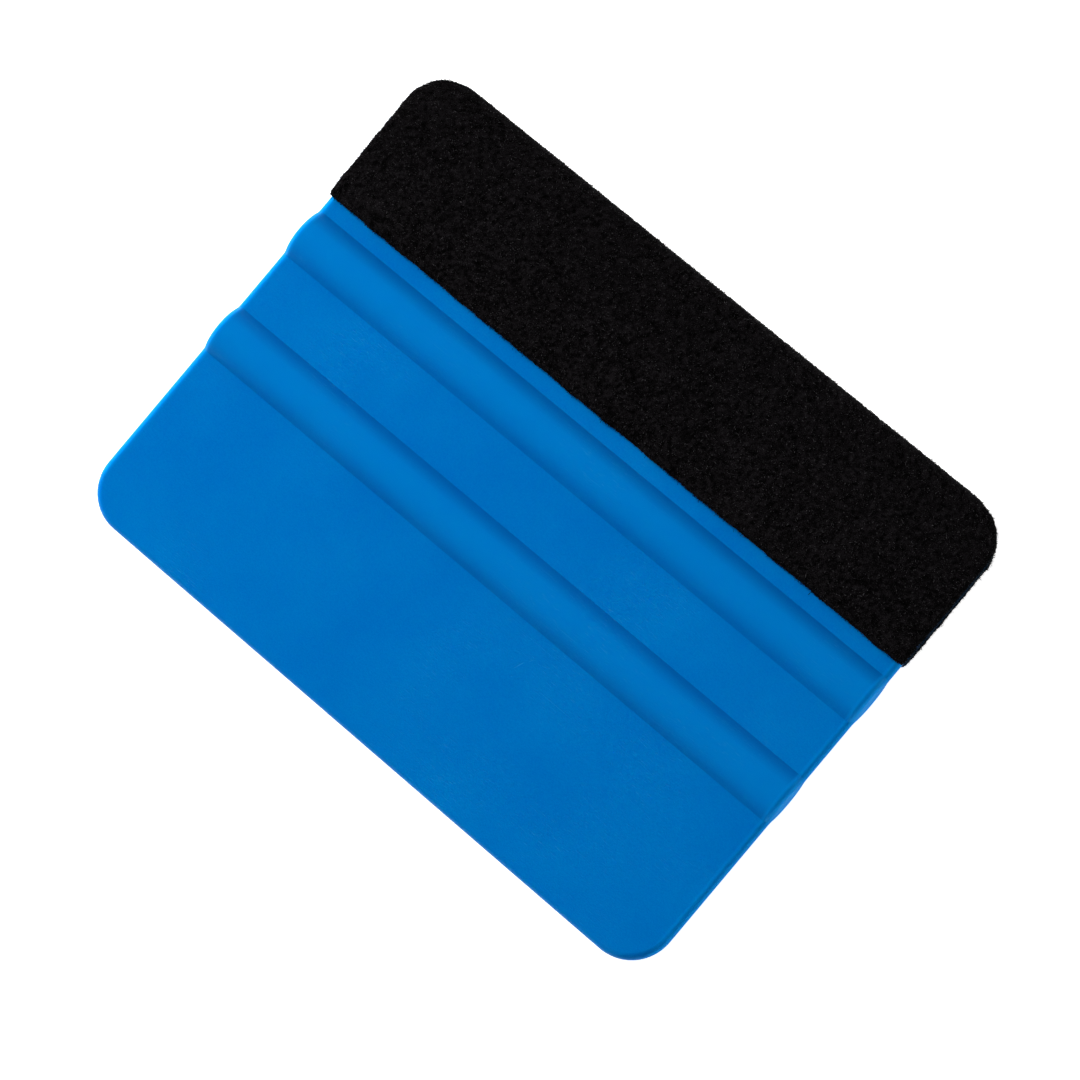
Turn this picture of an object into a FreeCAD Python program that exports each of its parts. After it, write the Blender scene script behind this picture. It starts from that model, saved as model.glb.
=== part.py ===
"""Hand squeegee for laying vinyl film: a flexible card with a felt-covered working edge.

The card is one plastic moulding, thin at its edges, with two grip ribs across its middle on each
face.  A felt strip, held by a film of pressure-sensitive adhesive, is folded over one long edge.

Millimetres.  X runs along the card's long side and Y from the bare edge to the felt edge.  Z is the
thickness, and the object lies on the crests of its lower ribs at Z = 0.  The origin is the middle
of its footprint.
"""
import FreeCAD, Part
import math
import os

Vector = FreeCAD.Vector

# --- card -----------------------------------------------------------------------------------------
card_length = 100.0            # along X
card_depth = 75.5              # along Y, bare edge to covered edge
corner_radius = 6.5            # plan corners
panel_thickness = 2.2          # between the ribs, and where each blade leaves its rib
blade_taper = 0.1              # how much each face of a blade drops on its way to the long edge
edge_round_depth = 1.6         # how far the soft rounding of a long edge reaches in
edge_round_radius = 16.0       # its radius, in the Y-Z section
rim_radius = 0.88              # round all the way along the rim, on both faces

# --- grip ribs, the same on both faces ------------------------------------------------------------
rib_width = 7.6
rib_rise = 1.9                 # crest above the panel
rib_spacing = 16.8             # between the two crests
rib_offset = 0.8               # the pair sits this far from the card's middle, towards the felt
crease_radius = 0.2            # hollow round at the foot of a rib

# --- felt strip and its adhesive ------------------------------------------------------------------
film_thickness = 0.1
felt_thickness = 0.8
felt_gap = 2.5                 # bare plastic between a rib's foot and the cut edge of the felt
felt_overhang = 0.15           # past each end of the card

# --- places that follow from the sizes ------------------------------------------------------------
cover_thickness = film_thickness + felt_thickness
card_middle_y = -cover_thickness / 2.0
middle_z = panel_thickness / 2.0 + rib_rise
half_length = card_length / 2.0
half_depth = card_depth / 2.0
half_panel = panel_thickness / 2.0
rib_inner = (rib_spacing - rib_width) / 2.0    # feet of a rib, from the middle of the pair
rib_outer = rib_inner + rib_width
cut_margin = 5.0                               # how far a cutting prism reaches past what it trims
rim_share = 0.95                               # most of the tip's half height that the rim may take

os.makedirs("parts", exist_ok=True)


def at(y, z):
    """A point given from the middle of the card's section, in the part's frame."""
    return Vector(0, card_middle_y + y, middle_z + z)


def on_circle(centre, radius, angle):
    """(y, z) on a circle of the section, the angle measured from +Y towards +Z."""
    return centre[0] + radius * math.cos(angle), centre[1] + radius * math.sin(angle)


def flip(point, y_sign, z_sign):
    return point[0] * y_sign, point[1] * z_sign


def line(a, b):
    """A straight edge of the section from (y, z) to (y, z)."""
    return Part.LineSegment(at(*a), at(*b)).toShape()


def arc(a, b, c):
    """A circular edge of the section through three (y, z) points."""
    return Part.Arc(at(*a), at(*b), at(*c)).toShape()


class LongEdge:
    """The upper half of a long edge's section, drawn as if it faced +Y.

    From the rib's foot the blade face slopes down a little.  A soft rounding is tangent to it, and
    the rim round is tangent to that and to the upright tip.
    """

    def __init__(self, foot):
        self.foot = (foot, half_panel)
        self.soft_start = (half_depth - edge_round_depth, half_panel - blade_taper)
        self.slope = math.atan2(blade_taper, self.soft_start[0] - foot)
        self.face_angle = math.pi / 2.0 - self.slope
        self.soft_centre = on_circle(self.soft_start, -edge_round_radius, self.face_angle)
        self.tip_angle = math.acos((half_depth - self.soft_centre[0]) / edge_round_radius)
        self.tip = on_circle(self.soft_centre, edge_round_radius, self.tip_angle)

    def face_at(self, y):
        """A point of the blade face."""
        return y, self.foot[1] - (y - self.foot[0]) * math.tan(self.slope)


bare_edge = LongEdge(rib_outer - rib_offset)
covered_edge = LongEdge(rib_outer + rib_offset)
rim_round = min(rim_radius, rim_share * min(bare_edge.tip[1], covered_edge.tip[1]))


def card_section():
    """The card's closed Y-Z section."""
    edges = []
    for y_sign, side in ((1, covered_edge), (-1, bare_edge)):
        shift = rib_offset * y_sign
        soft_middle = on_circle(side.soft_centre, edge_round_radius, (side.face_angle + side.tip_angle) / 2.0)
        inner_foot = (rib_inner + shift, half_panel)
        crest = (rib_inner + rib_width / 2.0 + shift, half_panel + rib_rise)
        for z_sign in (1, -1):
            inner, top, foot, start, middle, tip = [
                flip(point, y_sign, z_sign)
                for point in (inner_foot, crest, side.foot, side.soft_start, soft_middle, side.tip)]
            edges += [arc(inner, top, foot), line(foot, start), arc(start, middle, tip)]
        edges.append(line(flip(side.tip, y_sign, 1), flip(side.tip, y_sign, -1)))
    for z in (half_panel, -half_panel):
        edges.append(line((rib_offset - rib_inner, z), (rib_offset + rib_inner, z)))
    return Part.Face(Part.Wire(Part.__sortEdges__(edges)))


def along_x(face, half_span):
    """The section carried along X, the same distance to both sides of the middle."""
    solid = face.extrude(Vector(2.0 * half_span, 0, 0))
    solid.translate(Vector(-half_span, 0, 0))
    return solid


def rounded_plan(x_half, y_low, y_high, radius, round_low):
    """A tall prism with a rounded rectangle as its plan; round_low rounds the low-Y corners too."""
    height = 2.0 * (middle_z + cut_margin)
    lowest = Vector(-x_half, y_low, middle_z - height / 2.0)
    block = Part.makeBox(2.0 * x_half, y_high - y_low, height, lowest)
    corners = []
    for edge in block.Edges:
        upright = abs(edge.Vertexes[0].Z - edge.Vertexes[1].Z) > height / 2.0
        if upright and (round_low or edge.Vertexes[0].Y > (y_low + y_high) / 2.0):
            corners.append(edge)
    return block.makeFillet(radius, corners)


def is_crease(edge):
    """An edge along X at the foot of a rib."""
    ends = [vertex.Point for vertex in edge.Vertexes]
    if len(ends) != 2 or abs(ends[0].x - ends[1].x) < card_length / 2.0:
        return False
    y = abs(ends[0].y - card_middle_y - rib_offset)
    z = abs(ends[0].z - middle_z)
    return abs(z - half_panel) < 1e-6 and min(abs(y - rib_inner), abs(y - rib_outer)) < 1e-6


def is_rim(edge, solid):
    """An edge between the upright wall of the outline and one of the card's two faces."""
    walls = 0
    for face in solid.Faces:
        if any(edge.isSame(other) for other in face.Edges):
            u_low, u_high, v_low, v_high = face.ParameterRange
            normal = face.normalAt((u_low + u_high) / 2.0, (v_low + v_high) / 2.0)
            if abs(normal.z) < 1e-6 and face.BoundBox.ZMin < middle_z < face.BoundBox.ZMax:
                walls += 1
    return walls == 1


def blade_card():
    """One injection moulding: section along X, plan corners cut, feet of ribs and rim rounded."""
    solid = along_x(card_section(), half_length + cut_margin)
    solid = solid.makeFillet(crease_radius, [edge for edge in solid.Edges if is_crease(edge)])
    plan = rounded_plan(half_length, card_middle_y - half_depth, card_middle_y + half_depth,
                        corner_radius, True)
    solid = solid.common(plan).Solids[0]
    return solid.makeFillet(rim_round, [edge for edge in solid.Edges if is_rim(edge, solid)])


def cover_path(offset):
    """Points of the covered edge's section, offset outwards, from the upper cut edge to the tip."""
    side = covered_edge
    cut_edge = side.face_at(side.foot[0] + felt_gap)
    inside = edge_round_radius - rim_round
    rim_angle = math.acos((half_depth - rim_round - side.soft_centre[0]) / inside)
    rim_centre = on_circle(side.soft_centre, inside, rim_angle)
    soft_radius = edge_round_radius + offset
    rim_outer = rim_round + offset
    return [
        on_circle(cut_edge, offset, side.face_angle),
        on_circle(side.soft_start, offset, side.face_angle),
        on_circle(side.soft_centre, soft_radius, (side.face_angle + rim_angle) / 2.0),
        on_circle(side.soft_centre, soft_radius, rim_angle),
        on_circle(rim_centre, rim_outer, rim_angle / 2.0),
        on_circle(rim_centre, rim_outer, 0.0),
    ]


def cover(inner_offset, outer_offset):
    """A layer folded over the covered edge, cut to length and round its two corners."""
    inner, outer = cover_path(inner_offset), cover_path(outer_offset)
    edges = []
    for path in (inner, outer):
        for z_sign in (1, -1):
            p = [flip(point, 1, z_sign) for point in path]
            edges += [line(p[0], p[1]), arc(p[1], p[2], p[3]), arc(p[3], p[4], p[5])]
        edges.append(line(path[-1], flip(path[-1], 1, -1)))
    for z_sign in (1, -1):
        edges.append(line(flip(inner[0], 1, z_sign), flip(outer[0], 1, z_sign)))
    face = Part.Face(Part.Wire(Part.__sortEdges__(edges)))
    x_half = half_length + felt_overhang
    plan = rounded_plan(x_half, card_middle_y, card_middle_y + half_depth + cover_thickness,
                        corner_radius + felt_overhang, False)
    return along_x(face, x_half + cut_margin).common(plan)


def adhesive_film():
    """Double-sided adhesive between card and felt, cut together with the felt."""
    return cover(0.0, film_thickness)


def felt_strip():
    """One strip of felt, folded over the edge of the card."""
    return cover(film_thickness, cover_thickness)


for name, make in (("blade_card", blade_card), ("adhesive_film", adhesive_film), ("felt_strip", felt_strip)):
    shape = make()
    if not shape.isValid() or len(shape.Solids) != 1:
        raise RuntimeError(name + " is not one valid solid")
    shape.Solids[0].exportStep("parts/" + name + ".step")
    print(name, "volume %.1f mm3" % shape.Volume)
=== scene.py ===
"""Hand squeegee with a felt edge: its visible surfaces, floor, light and camera, in metres."""
import math

import bpy
import numpy as np
from mathutils import Matrix, Vector


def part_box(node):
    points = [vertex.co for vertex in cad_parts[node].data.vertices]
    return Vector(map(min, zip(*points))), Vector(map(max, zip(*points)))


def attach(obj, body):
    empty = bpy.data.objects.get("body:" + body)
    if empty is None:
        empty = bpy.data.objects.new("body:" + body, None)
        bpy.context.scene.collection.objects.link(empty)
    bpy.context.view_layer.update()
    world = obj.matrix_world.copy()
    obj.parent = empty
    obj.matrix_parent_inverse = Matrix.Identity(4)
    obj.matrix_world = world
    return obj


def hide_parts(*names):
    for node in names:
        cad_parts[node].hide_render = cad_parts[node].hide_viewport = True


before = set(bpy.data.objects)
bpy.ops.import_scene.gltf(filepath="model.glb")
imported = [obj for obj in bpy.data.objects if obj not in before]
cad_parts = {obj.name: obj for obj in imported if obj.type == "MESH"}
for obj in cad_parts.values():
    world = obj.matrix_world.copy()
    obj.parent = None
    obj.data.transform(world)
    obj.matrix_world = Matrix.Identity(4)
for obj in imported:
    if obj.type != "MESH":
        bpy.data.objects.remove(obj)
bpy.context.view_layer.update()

MM = 0.001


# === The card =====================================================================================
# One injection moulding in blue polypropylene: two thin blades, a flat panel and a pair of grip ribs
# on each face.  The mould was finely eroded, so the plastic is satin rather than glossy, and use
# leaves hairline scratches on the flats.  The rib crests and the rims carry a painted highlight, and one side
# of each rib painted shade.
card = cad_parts["blade_card"]
card_low, card_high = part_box("blade_card")
middle = (card_low + card_high) / 2.0
half_length = (card_high.x - card_low.x) / 2.0

grain_size = 0.22 * MM            # spark-erosion grain; a real one is half this, too fine to show
grain_depth = 0.04 * MM
mottle_size = 14.0 * MM           # slow change of tone where the melt cooled unevenly
patch_size = 13.0 * MM            # worn patches
crest_start = 1.8 * MM            # where a rib's painted crest highlight begins, and its top, from the mid-plane
crest_top = 3.0 * MM
rib_reach = 14.0 * MM             # both ribs lie within this of the card's middle line
rim_highlight_reach = 1.2 * MM               # how far in from an end the painted rim highlight reaches


def linear(hex_code):
    """The linear colour, with alpha, of an sRGB hex value."""
    srgb = np.array([int(hex_code[i:i + 2], 16) for i in (0, 2, 4)]) / 255.0
    rgb = np.where(srgb <= 0.04045, srgb / 12.92, ((srgb + 0.055) / 1.055) ** 2.4)
    return (*rgb.tolist(), 1.0)


def add_node(tree, kind, inputs=None, **settings):
    """A shader node: settings are its properties, and inputs are values or sockets to link from."""
    node = tree.nodes.new(kind)
    for key, value in settings.items():
        setattr(node, key, value)
    for key, value in (inputs or {}).items():
        if isinstance(value, bpy.types.NodeSocket):
            tree.links.new(value, node.inputs[key])
        else:
            node.inputs[key].default_value = value
    return node


def new_material(name):
    """An empty material with an output node: (material, tree, output)."""
    material = bpy.data.materials.new(name)
    material.use_nodes = True
    tree = material.node_tree
    tree.nodes.clear()
    return material, tree, add_node(tree, "ShaderNodeOutputMaterial")


def streaks(tree, place, turn, length, width, start, end, seed):
    """Hairlines at an angle to X: noise stretched to length by width, kept where it is high."""
    lie = add_node(tree, "ShaderNodeMapping",
                   {"Vector": place, "Rotation": (0.0, 0.0, turn), "Location": (seed, seed, 0.0),
                    "Scale": (1.0 / (length * MM), 1.0 / (width * MM), 1.0 / (length * MM))}).outputs[0]
    noise = add_node(tree, "ShaderNodeTexNoise",
                     {"Vector": lie, "Scale": 1.0, "Detail": 1.0}).outputs["Fac"]
    return add_node(tree, "ShaderNodeMapRange",
                    {"Value": noise, "From Min": start, "From Max": end}).outputs[0]


def nick(tree, place, aside, inward, turn, length, width):
    """One short scratch: a soft-ended ellipse of length by width, all in millimetres.

    Its centre lies aside of the card's middle, along X, and inward from the bare edge.
    """
    lie = add_node(tree, "ShaderNodeMapping",
                   {"Vector": place, "Location": (middle.x + aside * MM, card_low.y + inward * MM, middle.z),
                    "Rotation": (0.0, 0.0, turn), "Scale": (length * MM, width * MM, 1.0)},
                   vector_type="TEXTURE").outputs[0]
    away = add_node(tree, "ShaderNodeVectorMath", {0: lie}, operation="LENGTH").outputs["Value"]
    return add_node(tree, "ShaderNodeMapRange",
                    {"Value": away, "From Min": 0.3, "From Max": 0.5,
                     "To Min": 1.0, "To Max": 0.0}).outputs[0]


def moulded_polypropylene():
    """Blue right through and satin from the eroded mould, with a painted highlight on the rib crests.

    Painted shade darkens one side of each rib, and a painted highlight makes the rims at both ends pale.
    Short scuffs lie in worn patches, and a few nicks stand out on the bare blade.  Light goes a little way
    in, as polypropylene is translucent.
    """
    material, tree, output = new_material("moulded_polypropylene")
    place = add_node(tree, "ShaderNodeTexCoord").outputs["Object"]
    across, along, height = add_node(tree, "ShaderNodeSeparateXYZ", {0: place}).outputs
    normal = add_node(tree, "ShaderNodeNewGeometry").outputs["Normal"]
    normal_x, normal_y, normal_z = add_node(tree, "ShaderNodeSeparateXYZ", {0: normal}).outputs

    # Two close blues, mixed by slow mottling and by the mould's grain.
    mottle = add_node(tree, "ShaderNodeTexNoise",
                      {"Vector": place, "Scale": 1.0 / mottle_size, "Detail": 3.0}).outputs["Fac"]
    grain = add_node(tree, "ShaderNodeTexNoise",
                     {"Vector": place, "Scale": 1.0 / grain_size, "Detail": 2.0}).outputs["Fac"]
    tone = add_node(tree, "ShaderNodeMath", {0: mottle, 1: grain}, operation="ADD").outputs[0]
    tone = add_node(tree, "ShaderNodeMapRange",
                    {"Value": tone, "From Min": 0.6, "From Max": 1.4}).outputs[0]
    blue = add_node(tree, "ShaderNodeMix", {"Factor": tone, "A": linear("006fc5"), "B": linear("007fcd")},
                    data_type="RGBA")

    # Painted highlight on the crests: paler towards the greatest height of the ribs, on both faces.
    above = add_node(tree, "ShaderNodeMath", {0: height, 1: middle.z}, operation="SUBTRACT").outputs[0]
    above = add_node(tree, "ShaderNodeMath", {0: above}, operation="ABSOLUTE").outputs[0]
    crest_highlight = add_node(tree, "ShaderNodeMapRange",
                      {"Value": above, "From Min": crest_start, "From Max": crest_top}).outputs[0]
    blue = add_node(tree, "ShaderNodeMix", {"Factor": crest_highlight, "A": blue.outputs[2], "B": linear("007ecf")},
                    data_type="RGBA")

    # Painted shade: darker on each rib's side towards the felt, fainter at its other foot.
    flank = add_node(tree, "ShaderNodeMapRange",
                     {"Value": normal_y, "From Min": 0.35, "From Max": 0.80}).outputs[0]
    crease = add_node(tree, "ShaderNodeMapRange",
                      {"Value": normal_y, "From Min": -0.40, "From Max": -0.80, "To Max": 0.4}).outputs[0]
    flank = add_node(tree, "ShaderNodeMath", {0: flank, 1: crease}, operation="MAXIMUM").outputs[0]
    away = add_node(tree, "ShaderNodeMath", {0: along}, operation="ABSOLUTE").outputs[0]
    on_rib = add_node(tree, "ShaderNodeMath", {0: away, 1: rib_reach}, operation="LESS_THAN").outputs[0]
    flank_shade = add_node(tree, "ShaderNodeMath", {0: flank, 1: on_rib}, operation="MULTIPLY").outputs[0]
    blue = add_node(tree, "ShaderNodeMix", {"Factor": flank_shade, "A": blue.outputs[2], "B": linear("0064b2")},
                    data_type="RGBA")

    # Painted highlight on the rims: paler near both ends, but not on the upright end walls.
    out = add_node(tree, "ShaderNodeMath", {0: across, 1: middle.x}, operation="SUBTRACT").outputs[0]
    out = add_node(tree, "ShaderNodeMath", {0: out}, operation="ABSOLUTE").outputs[0]
    rim = add_node(tree, "ShaderNodeMapRange",
                   {"Value": out, "From Min": half_length - rim_highlight_reach,
                    "From Max": half_length - 0.5 * rim_highlight_reach}).outputs[0]
    level = add_node(tree, "ShaderNodeMath", {0: normal_z}, operation="ABSOLUTE").outputs[0]
    level = add_node(tree, "ShaderNodeMapRange",
                     {"Value": level, "From Min": 0.15, "From Max": 0.6}).outputs[0]
    rim = add_node(tree, "ShaderNodeMath", {0: rim, 1: level}, operation="MULTIPLY").outputs[0]
    blue = add_node(tree, "ShaderNodeMix", {"Factor": rim, "A": blue.outputs[2], "B": linear("008de0")},
                    data_type="RGBA")

    # Scuffs and nicks: paler scratches, slightly sunk into the grain.
    patch = add_node(tree, "ShaderNodeTexNoise",
                     {"Vector": place, "Scale": 1.0 / patch_size, "Detail": 2.0}).outputs["Fac"]
    worn = add_node(tree, "ShaderNodeMapRange",
                    {"Value": patch, "From Min": 0.46, "From Max": 0.66}).outputs[0]
    marks = streaks(tree, place, 0.9, 1.1, 0.16, 0.60, 0.80, 0.0)
    for turn, length, width, start, end, seed in ((0.2, 0.9, 0.15, 0.62, 0.82, 3.1),
                                                  (1.4, 14.0, 0.14, 0.74, 0.80, 7.7)):
        more = streaks(tree, place, turn, length, width, start, end, seed)
        marks = add_node(tree, "ShaderNodeMath", {0: marks, 1: more}, operation="MAXIMUM").outputs[0]
    scuffs = add_node(tree, "ShaderNodeMath", {0: marks, 1: worn}, operation="MULTIPLY").outputs[0]
    for aside, inward, turn, length, width in ((11.4, 21.3, 1.2, 1.9, 0.20), (12.3, 22.8, 1.1, 0.8, 0.14),
                                               (11.6, 19.6, 1.1, 0.4, 0.18)):
        mark = nick(tree, place, aside, inward, turn, length, width)
        scuffs = add_node(tree, "ShaderNodeMath", {0: scuffs, 1: mark}, operation="MAXIMUM").outputs[0]
    scuffed = add_node(tree, "ShaderNodeMath", {0: scuffs, 1: 0.13}, operation="MULTIPLY").outputs[0]
    colour = add_node(tree, "ShaderNodeMix", {"Factor": scuffed, "A": blue.outputs[2], "B": linear("4aa0dc")},
                      data_type="RGBA")
    depth = add_node(tree, "ShaderNodeMath", {0: scuffs, 1: -0.5, 2: grain},
                     operation="MULTIPLY_ADD").outputs[0]
    bump = add_node(tree, "ShaderNodeBump",
                    {"Height": depth, "Strength": 0.5, "Distance": grain_depth}).outputs[0]

    # Gloss: satin on the faces, duller on the more coarsely eroded end walls.
    rough = add_node(tree, "ShaderNodeMapRange",
                     {"Value": mottle, "From Min": 0.3, "From Max": 0.7,
                      "To Min": 0.36, "To Max": 0.44}).outputs[0]
    end_wall = add_node(tree, "ShaderNodeMath", {0: normal_x}, operation="ABSOLUTE").outputs[0]
    coarser = add_node(tree, "ShaderNodeMapRange",
                       {"Value": end_wall, "From Min": 0.3, "From Max": 0.9, "To Max": 0.45}).outputs[0]
    rough = add_node(tree, "ShaderNodeMath", {0: rough, 1: coarser}, operation="ADD").outputs[0]
    shader = add_node(tree, "ShaderNodeBsdfPrincipled",
                      {"Base Color": colour.outputs[2], "Roughness": rough, "IOR": 1.49,
                       "Subsurface Weight": 0.35, "Subsurface Radius": (0.1, 0.7, 1.0),
                       "Subsurface Scale": 1.2 * MM, "Specular IOR Level": 0.17,
                       "Specular Tint": (0.02, 0.95, 0.75, 1.0), "Normal": bump})
    tree.links.new(shader.outputs[0], output.inputs[0])
    return material


card.data.materials[0] = moulded_polypropylene()


# === The adhesive film ============================================================================
# A tenth of a millimetre of acrylic pressure-sensitive adhesive on a clear carrier, cut together
# with the felt.  It shows as a thin dark line between card and felt where the strip is trimmed.
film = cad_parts["adhesive_film"]


def acrylic_adhesive():
    """Clear and wet-looking, dark because black felt lies behind it, dulled by dust at the cut."""
    material, tree, output = new_material("acrylic_adhesive_film")
    place = add_node(tree, "ShaderNodeTexCoord").outputs["Object"]
    dust = add_node(tree, "ShaderNodeTexNoise", {"Vector": place, "Scale": 1.0 / (0.6 * MM), "Detail": 3.0})
    cloud = add_node(tree, "ShaderNodeMapRange",
                     {"Value": dust.outputs["Fac"], "From Min": 0.45, "From Max": 0.7}).outputs[0]
    colour = add_node(tree, "ShaderNodeMix", {"Factor": cloud, "A": linear("3a3730"), "B": linear("2c2a26")},
                      data_type="RGBA")
    rough = add_node(tree, "ShaderNodeMapRange", {"Value": cloud, "To Min": 0.18, "To Max": 0.5}).outputs[0]
    shader = add_node(tree, "ShaderNodeBsdfPrincipled",
                      {"Base Color": colour.outputs[2], "Roughness": rough, "IOR": 1.47})
    tree.links.new(shader.outputs[0], output.inputs[0])
    return material


film.data.materials[0] = acrylic_adhesive()


# === The felt strip ===============================================================================
# Needle-punched black polyester felt, die cut as one strip, folded over the card's edge and bonded.
# The knife leaves its cut edges a little rounded and wavy, and the strip lies slightly askew.
# Seven values here repeat the part's own and have to follow it, as the frame gives only boxes.
felt_low, felt_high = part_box("felt_strip")
film_low, film_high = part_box("adhesive_film")

half_panel = 1.1 * MM             # half the card's thickness at a rib's foot
blade_taper = 0.1 * MM            # drop of each blade face
soft_depth = 1.6 * MM             # the card edge's soft rounding: how far it reaches in
soft_radius = 16.0 * MM           # and its radius
rim_radius = 0.874 * MM
corner_radius = 6.65 * MM         # trimmed corners of the felt
edge_line = card_high.y           # the card's covered edge
felt_out = felt_high.y - card_high.y
felt_in = film_high.y - card_high.y
felt_ends = felt_high.x + 0.04 * MM
felt_corner = 0.6 * MM            # where a cut edge meets an end
cut_line = felt_low.y
blade_run = edge_line - cut_line + 2.5 * MM    # from a rib's foot to the covered edge
askew = (-0.35 * MM, -0.04 * MM)  # how far each end leans on its way from cut edge to fold
tuft_height = 0.035 * MM
felt_step = 0.25 * MM             # spacing of the outer mesh; the glued side is coarser
coarse = 3                        # by this much


def folded_section():
    """The covered edge's section at even steps along the felt: places on the card, outward normals.

    Upper half: a straight blade face, an arc of soft_radius tangent to it, an arc of rim_radius
    tangent to that and to the upright tip.  The lower half is the upper one mirrored.
    """
    start = np.array([edge_line - soft_depth, half_panel - blade_taper])
    slope = math.atan2(blade_taper, blade_run - soft_depth)
    up = np.array([math.sin(slope), math.cos(slope)])
    soft_centre = start - soft_radius * up
    rim_turn = math.acos((edge_line - rim_radius - soft_centre[0]) / (soft_radius - rim_radius))
    rim_centre = soft_centre + (soft_radius - rim_radius) * np.array([math.cos(rim_turn), math.sin(rim_turn)])
    along = np.linspace(0.0, 1.0, 400)[:, None]
    begin = start - (start[0] - cut_line) * np.array([1.0, -math.tan(slope)])
    places = [begin + along * (start - begin)]
    normals = [np.repeat(up[None], len(along), axis=0)]
    for centre, radius, first, last in ((soft_centre, soft_radius, math.pi / 2 - slope, rim_turn),
                                        (rim_centre, rim_radius, rim_turn, 0.0)):
        turn = first + along[1:, 0] * (last - first)
        ray = np.stack([np.cos(turn), np.sin(turn)], 1)
        places.append(centre + radius * ray)
        normals.append(ray)
    mirror = np.array([1.0, -1.0])
    place, normal = np.concatenate(places), np.concatenate(normals)
    place = np.concatenate([place, place[::-1] * mirror])
    normal = np.concatenate([normal, normal[::-1] * mirror])
    reach = np.linalg.norm(np.diff(place + felt_out * normal, axis=0), axis=1)
    reach = np.concatenate([[0.0], np.cumsum(reach)])
    even = np.linspace(0.0, reach[-1], coarse * round(reach[-1] / felt_step / coarse) + 1)
    place = np.stack([np.interp(even, reach, column) for column in place.T], 1)
    normal = np.stack([np.interp(even, reach, column) for column in normal.T], 1)
    place[:, 1] += middle.z
    return place, normal / np.linalg.norm(normal, axis=1)[:, None], even


def smooth_noise(rng, shape, sizes):
    """White noise blurred by a Gaussian of sizes (in cells), scaled to a deviation of one."""
    white = rng.standard_normal(shape)
    reach = [np.fft.fftfreq(n)[:, None] if i == 0 else np.fft.fftfreq(n)[None] for i, n in enumerate(shape)]
    blur = np.exp(-2.0 * math.pi ** 2 * ((reach[0] * sizes[0]) ** 2 + (reach[1] * sizes[1]) ** 2))
    soft = np.fft.ifft2(np.fft.fft2(white) * blur).real
    return soft / soft.std()


def felt_surfaces():
    """Outer and inner surface of the strip as grids (along the section, along X), and its tufts.

    x runs from end to end, shortened where the corner arc trims the flap.  The outer surface stands
    off the card by the felt's thickness, less where the knife rounded a cut edge, plus the tufts:
    a soft unevenness of the matted fibres, from fine clumps to broad swells.
    """
    rng = np.random.default_rng(11)
    place, normal, reach = folded_section()
    rows = len(place)
    columns = coarse * round(2.0 * felt_ends / felt_step / coarse) + 1
    share = np.linspace(0.0, 1.0, columns)[None]
    end_wobble = 0.03 * MM * smooth_noise(rng, (rows, 2), (2.0, 0.01))
    cut_wobble = 0.06 * MM * smooth_noise(rng, (2, columns), (0.01, 2.5))
    to_cut = np.minimum(reach, reach[-1] - reach)[:, None]
    fade = np.exp(-to_cut / (1.0 * MM))
    shift = np.where((reach < reach[-1] / 2.0)[:, None], cut_wobble[0][None], cut_wobble[1][None]) * fade
    surfaces = []
    for offset in (felt_out, felt_in):
        y, z = (place + offset * normal).T
        past = np.clip(y - (felt_high.y - corner_radius), 0.0, corner_radius)
        half = felt_ends - corner_radius + np.sqrt(corner_radius ** 2 - past ** 2)
        short = np.clip(felt_corner - to_cut[:, 0], 0.0, felt_corner)
        half = half - felt_corner + np.sqrt(felt_corner ** 2 - short ** 2)
        lean = np.clip((y - cut_line) / (felt_high.y - cut_line), 0.0, 1.0)
        left = (askew[0] * lean - half + end_wobble[:, 0])[:, None]
        right = (askew[1] * lean + half + end_wobble[:, 1])[:, None]
        x = left * (1.0 - share) + right * share
        surfaces.append(np.stack([x, y[:, None] + shift, np.repeat(z[:, None], columns, 1)], -1))
    outer, inner = surfaces
    to_end = np.minimum(share, 1.0 - share) * 2.0 * half[:, None]
    edge = np.clip(np.minimum(to_end, to_cut) / (0.5 * MM), 0.0, 1.0)
    tufts = (0.95 * smooth_noise(rng, (rows, columns), (0.45, 0.45))
             + 0.12 * smooth_noise(rng, (rows, columns), (1.5, 1.5))
             + 0.08 * smooth_noise(rng, (rows, columns), (10.0, 10.0)))
    lost = 0.30 * (felt_out - felt_in) * (1.0 - edge) ** 2
    stand = tuft_height * tufts * (0.4 + 0.6 * edge) - lost
    outer[..., 1] += stand * normal[:, :1]
    outer[..., 2] += stand * normal[:, 1:]
    return outer, inner, tufts


def put_mesh(name, points, faces):
    """A new mesh object at the origin from an array of points and one array of faces per corner count."""
    mesh = bpy.data.meshes.new(name)
    counts = np.concatenate([np.full(len(f), f.shape[1]) for f in faces])
    loops = np.concatenate([f.ravel() for f in faces])
    mesh.vertices.add(len(points))
    mesh.vertices.foreach_set("co", points.astype(np.float32).ravel())
    mesh.loops.add(len(loops))
    mesh.loops.foreach_set("vertex_index", loops.astype(np.int32))
    mesh.polygons.add(len(counts))
    mesh.polygons.foreach_set("loop_start", np.concatenate([[0], np.cumsum(counts)[:-1]]).astype(np.int32))
    mesh.polygons.foreach_set("use_smooth", np.full(len(counts), True))
    mesh.update(calc_edges=True)
    mesh.validate()
    piece = bpy.data.objects.new(name, mesh)
    bpy.context.scene.collection.objects.link(piece)
    return piece


def grid_quads(index):
    """Quads of a grid of vertex numbers, facing columns x rows."""
    return np.stack([index[:-1, :-1], index[:-1, 1:], index[1:, 1:], index[1:, :-1]], -1).reshape(-1, 4)


def border(index):
    """The vertex numbers once round a grid."""
    return np.concatenate([index[0, :-1], index[:-1, -1], index[-1, :0:-1], index[:0:-1, 0]])


def keep_tone_and_shade(piece, values):
    """One number a vertex, read by the felt's material as its tone: painted shade on the folded felt, darker
    in the pits between tufts, and each fibre's own tone on the nap.
    """
    layer = piece.data.attributes.new("tone_and_pit_shade", "FLOAT", "POINT")
    layer.data.foreach_set("value", values.astype(np.float32).ravel())


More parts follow.
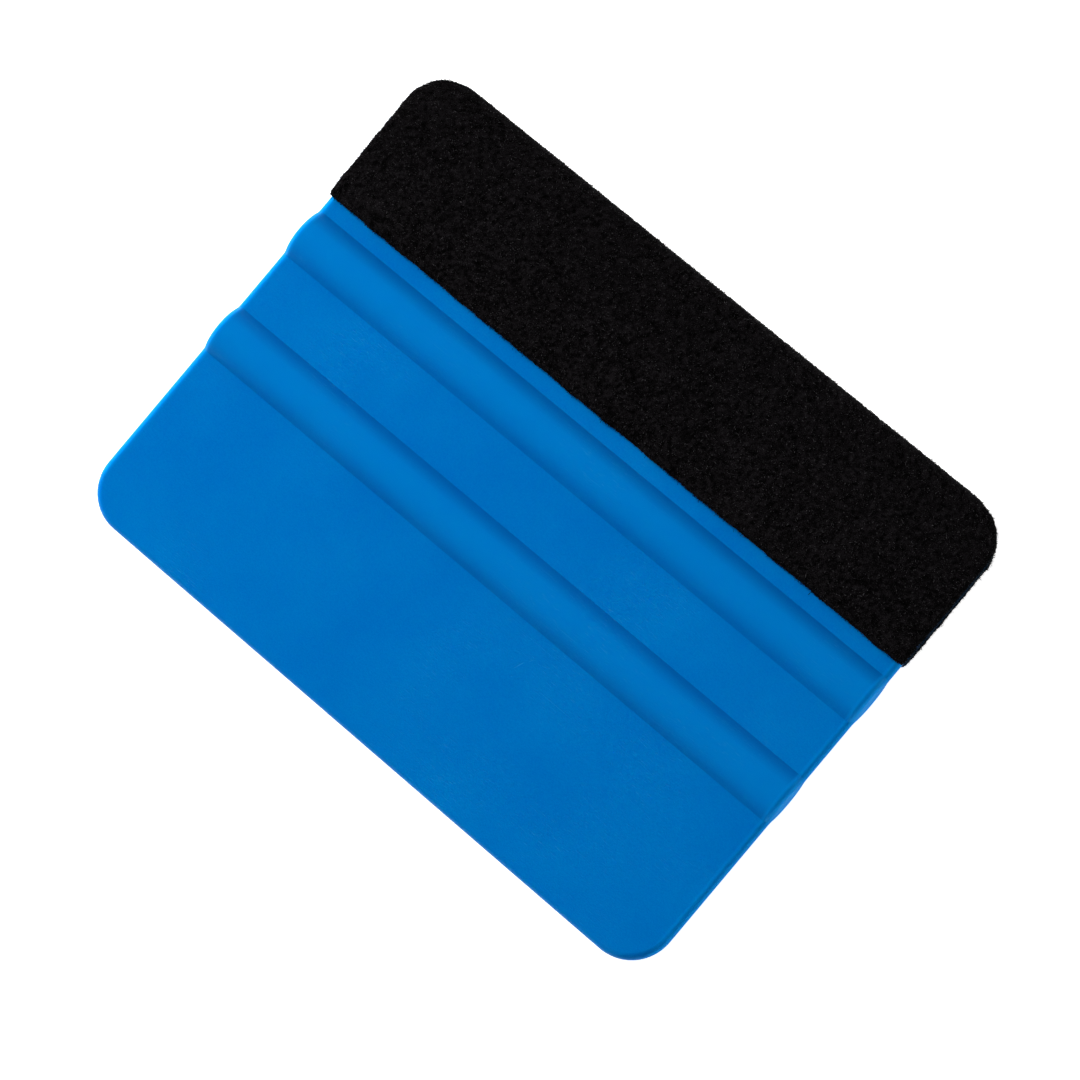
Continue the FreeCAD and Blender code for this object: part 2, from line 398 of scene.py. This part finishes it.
def needled_felt(name, dark, light):
    """Matted black polyester: no gloss, a faint sheen from fibre ends, and painted shade darker in the pits
    between tufts.
    """
    material, tree, output = new_material(name)
    place = add_node(tree, "ShaderNodeTexCoord").outputs["Object"]
    # Tone: on the folded felt a painted shade that follows the tufts' height, on the nap each fibre's own.
    tone = add_node(tree, "ShaderNodeAttribute", attribute_name="tone_and_pit_shade").outputs["Fac"]
    lint = add_node(tree, "ShaderNodeTexNoise", {"Vector": place, "Scale": 1.0 / (0.12 * MM), "Detail": 1.0})
    tone = add_node(tree, "ShaderNodeMath", {0: lint.outputs["Fac"], 1: 2.0, 2: tone},
                    operation="MULTIPLY_ADD").outputs[0]
    tone = add_node(tree, "ShaderNodeMapRange",
                    {"Value": tone, "From Min": 1.30, "From Max": 1.92}).outputs[0]
    colour = add_node(tree, "ShaderNodeMix", {"Factor": tone, "A": linear(dark), "B": linear(light)},
                      data_type="RGBA")
    bump = add_node(tree, "ShaderNodeBump",
                    {"Height": lint.outputs["Fac"], "Strength": 0.4, "Distance": 0.08 * MM}).outputs[0]
    shader = add_node(tree, "ShaderNodeBsdfPrincipled",
                      {"Base Color": colour.outputs[2], "Roughness": 0.95, "Specular IOR Level": 0.06,
                       "Sheen Weight": 0.015, "Sheen Roughness": 0.4, "Normal": bump})
    tree.links.new(shader.outputs[0], output.inputs[0])
    return material


outer, inner, tufts = felt_surfaces()
glued = inner[::coarse, ::coarse]
outer_index = np.arange(tufts.size).reshape(tufts.shape)
glued_index = tufts.size + np.arange(glued[..., 0].size).reshape(glued.shape[:2])
top, low = border(outer_index), border(glued_index)
next_top, next_low = np.roll(top, -coarse)[::coarse], np.roll(low, -1)
quads = np.stack([top[1::coarse], low, next_low, top[2::coarse]], -1)
triangles = np.concatenate([np.stack([top[::coarse], low, top[1::coarse]], -1),
                            np.stack([top[2::coarse], next_low, next_top], -1)])
quads = np.concatenate([grid_quads(outer_index), grid_quads(glued_index)[:, ::-1], quads])
points = np.concatenate([outer.reshape(-1, 3), glued.reshape(-1, 3)])
felt = put_mesh("folded_felt", points, [quads, triangles])
# The folded felt's tone rises with the tufts: painted shade, darker in the pits between them.
keep_tone_and_shade(felt, np.concatenate([0.5 + 0.15 * tufts.ravel(), np.zeros(glued[..., 0].size)]))
felt.data.materials.append(needled_felt("needled_felt", "010101", "1d1b1d"))
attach(felt, "root")
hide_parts("felt_strip")


# === The nap ======================================================================================
# Loose fibre ends that the needles pulled out of the felt, matted down in every direction, with some
# standing off the fold and the cut edges.  A real fibre is 0.02 mm thick, too fine to show, so these
# are drawn up to 0.1 mm thick.
fibre_radius = 0.048 * MM
fibre_length = 0.22 * MM
felt_fibre = needled_felt("felt_fibre", "010101", "484648")


def nap(name, patches, seed, lift, loose):
    """Closed spindles laid on patches of the felt's surface, each a grid and a number of fibres.

    Each fibre follows a shallow arch: along a random direction in the surface, up by its own height
    and back down, bowed a little to one side; loose is the share whose far end stands off.  Two
    triangles of points and two tips make its body.
    """
    rng = np.random.default_rng(seed)
    spots, alongs, overs = [], [], []
    for patch, count in patches:
        row, column = rng.random(count) * (len(patch) - 1), rng.random(count) * (patch.shape[1] - 1)
        i, j = row.astype(int), column.astype(int)
        f, g = (row - i)[:, None], (column - j)[:, None]
        near = patch[i, j] * (1 - g) + patch[i, j + 1] * g
        far = patch[i + 1, j] * (1 - g) + patch[i + 1, j + 1] * g
        spots.append(near * (1 - f) + far * f)
        alongs.append(patch[i, j + 1] - patch[i, j])
        overs.append(np.cross(alongs[-1], far - near))
    spot, along, over = np.concatenate(spots), np.concatenate(alongs), np.concatenate(overs)
    count = len(spot)
    along /= np.linalg.norm(along, axis=1)[:, None]
    over /= np.linalg.norm(over, axis=1)[:, None]
    turn = rng.uniform(0.0, 2.0 * math.pi, count)[:, None]
    ahead = np.cos(turn) * along + np.sin(turn) * np.cross(over, along)
    aside = np.cross(over, ahead)
    length = fibre_length * rng.lognormal(0.0, 0.35, count)[:, None]
    arch = lift * MM * rng.gamma(2.0, 0.5, count)[:, None]
    rise = 2.0 * arch * (rng.random(count)[:, None] < loose)
    bow = length * rng.normal(0.0, 0.12, count)[:, None]
    t = np.array([0.0, 0.33, 0.67, 1.0])[None, :, None]
    curve = 4.0 * t * (1.0 - t)
    line = (spot[:, None] + ahead[:, None] * length[:, None] * (t - 0.5)
            + aside[:, None] * bow[:, None] * curve
            + over[:, None] * (arch[:, None] * curve + rise[:, None] * t - 0.03 * MM))
    angle = np.array([0.5, 7.0 / 6.0, 11.0 / 6.0]) * math.pi
    thick = fibre_radius * rng.uniform(0.6, 1.15, count)[:, None, None]
    ring = thick * (np.cos(angle)[None, :, None] * aside[:, None]
                    + np.sin(angle)[None, :, None] * over[:, None])
    points = np.concatenate([line[:, :1], line[:, 1:2] + ring, line[:, 2:3] + ring, line[:, 3:]], 1)
    base = 8 * np.arange(count)[:, None, None]
    tips = np.array([[0, 2, 1], [0, 3, 2], [0, 1, 3], [7, 4, 5], [7, 5, 6], [7, 6, 4]])
    body = np.array([[1, 2, 5, 4], [2, 3, 6, 5], [3, 1, 4, 6]])
    faces = [(base + tips).reshape(-1, 3), (base + body).reshape(-1, 4)]
    piece = put_mesh(name, points.reshape(-1, 3), faces)
    tone = rng.beta(0.7, 2.2, count) + 1.5 * (rng.random(count) < 0.006)
    keep_tone_and_shade(piece, np.repeat(tone, 8))
    piece.data.materials.append(felt_fibre)
    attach(piece, "root")
    return piece


flap = int((outer[:len(outer) // 2, 0, 1] < edge_line - soft_depth).sum())
cut_edges = [(np.stack([inner[0], outer[0]]), 3000), (np.stack([outer[-1], inner[-1]]), 3000),
             (np.stack([outer[:, 0], inner[:, 0]]), 2500), (np.stack([inner[:, -1], outer[:, -1]]), 2500)]
naps = [
    nap("nap_front_a", [(outer[:flap], 15000)], 21, 0.07, 0.05),
    nap("nap_front_b", [(outer[:flap], 15000)], 22, 0.07, 0.05),
    nap("nap_back_a", [(outer[-flap:], 15000)], 23, 0.07, 0.05),
    nap("nap_back_b", [(outer[-flap:], 15000)], 24, 0.07, 0.05),
    nap("nap_fold", [(outer[flap - 1:1 - flap], 12000)], 25, 0.07, 0.15),
    nap("nap_cut_edges", cut_edges, 26, 0.07, 0.12),
]


# === Floor and light ==============================================================================
# A white matt board that reaches past every view, under broad soft boxes.
floor_half = 3.0


def white_board():
    """Matt white, with a slight glow of its own so that it stays white under the object."""
    material, tree, output = new_material("white_board")
    place = add_node(tree, "ShaderNodeTexCoord").outputs["Object"]
    tooth = add_node(tree, "ShaderNodeTexNoise", {"Vector": place, "Scale": 1.0 / (0.5 * MM), "Detail": 2.0})
    bump = add_node(tree, "ShaderNodeBump",
                    {"Height": tooth.outputs["Fac"], "Strength": 0.02, "Distance": 0.02 * MM})
    shader = add_node(tree, "ShaderNodeBsdfPrincipled",
                      {"Base Color": linear("e0e0e0"), "Roughness": 0.9, "Normal": bump.outputs[0],
                       "Emission Color": (1.0, 1.0, 1.0, 1.0), "Emission Strength": 0.95})
    tree.links.new(shader.outputs[0], output.inputs[0])
    return material


corners = floor_half * np.array([[-1, -1, 0], [1, -1, 0], [1, 1, 0], [-1, 1, 0]])
floor = put_mesh("floor", corners, [np.array([[0, 1, 2, 3]])])
floor.data.materials.append(white_board())


def soft_box(name, place, size, power):
    """A square area light at place that faces the object."""
    light = bpy.data.lights.new(name, "AREA")
    light.size = size
    light.energy = power
    lamp = bpy.data.objects.new(name, light)
    bpy.context.scene.collection.objects.link(lamp)
    lamp.location = place
    lamp.visible_glossy = False
    lamp.rotation_mode = "QUATERNION"
    lamp.rotation_quaternion = (-Vector(place)).to_track_quat("-Z", "Y")


# The first is the main light, low from the left end; the others only lift what it leaves dark.  The
# lamps don't show in the gloss, which would wash the faces out in a view along the floor.
soft_box("end_box", (-0.88, 0.0, 0.46), 0.45, 15.0)
soft_box("felt_side_box", (-0.66, 0.66, 0.34), 0.45, 2.0)
soft_box("bare_side_box", (-0.50, -0.84, 0.34), 0.45, 0.9)
soft_box("far_end_box", (0.98, 0.0, 0.16), 0.24, 2.6)

# A dim room, darkest overhead so that little white gloss lies on the plastic.
world = bpy.data.worlds.new("studio")
bpy.context.scene.world = world
world.use_nodes = True
world.node_tree.nodes.clear()
sky = world.node_tree
ray = add_node(sky, "ShaderNodeTexCoord").outputs["Generated"]
height = add_node(sky, "ShaderNodeSeparateXYZ", {0: ray}).outputs["Z"]
level = add_node(sky, "ShaderNodeMapRange",
                 {"Value": height, "From Min": 0.6, "From Max": 0.95,
                  "To Min": 0.15, "To Max": 0.02}).outputs[0]
glow = add_node(sky, "ShaderNodeBackground", {"Color": (1.0, 1.0, 1.0, 1.0), "Strength": level})
add_node(sky, "ShaderNodeOutputWorld", {"Surface": glow.outputs[0]})


# === Camera =======================================================================================
# A long lens from above, a little to the right end, with the object turned in the picture.
scene = bpy.context.scene
aim = Vector((2.5, -2.5, 2.9)) * MM
eye = Vector((112.5, -6.7, 501.2)) * MM
heading = math.radians(39.3)      # the picture's right-hand direction, turned from the part's X
camera_data = bpy.data.cameras.new("camera")
camera_data.lens = 128.7
camera_data.sensor_width = 36.0
camera = bpy.data.objects.new("camera", camera_data)
scene.collection.objects.link(camera)
back = (eye - aim).normalized()
right = Vector((math.cos(heading), math.sin(heading), 0.0))
right = (right - right.dot(back) * back).normalized()
turned = Matrix((right, back.cross(right), back)).transposed()
camera.matrix_world = Matrix.Translation(eye) @ turned.to_4x4()
camera_data.clip_start, camera_data.clip_end = 0.01, 10.0
scene.camera = camera
scene.view_settings.view_transform = "Standard"
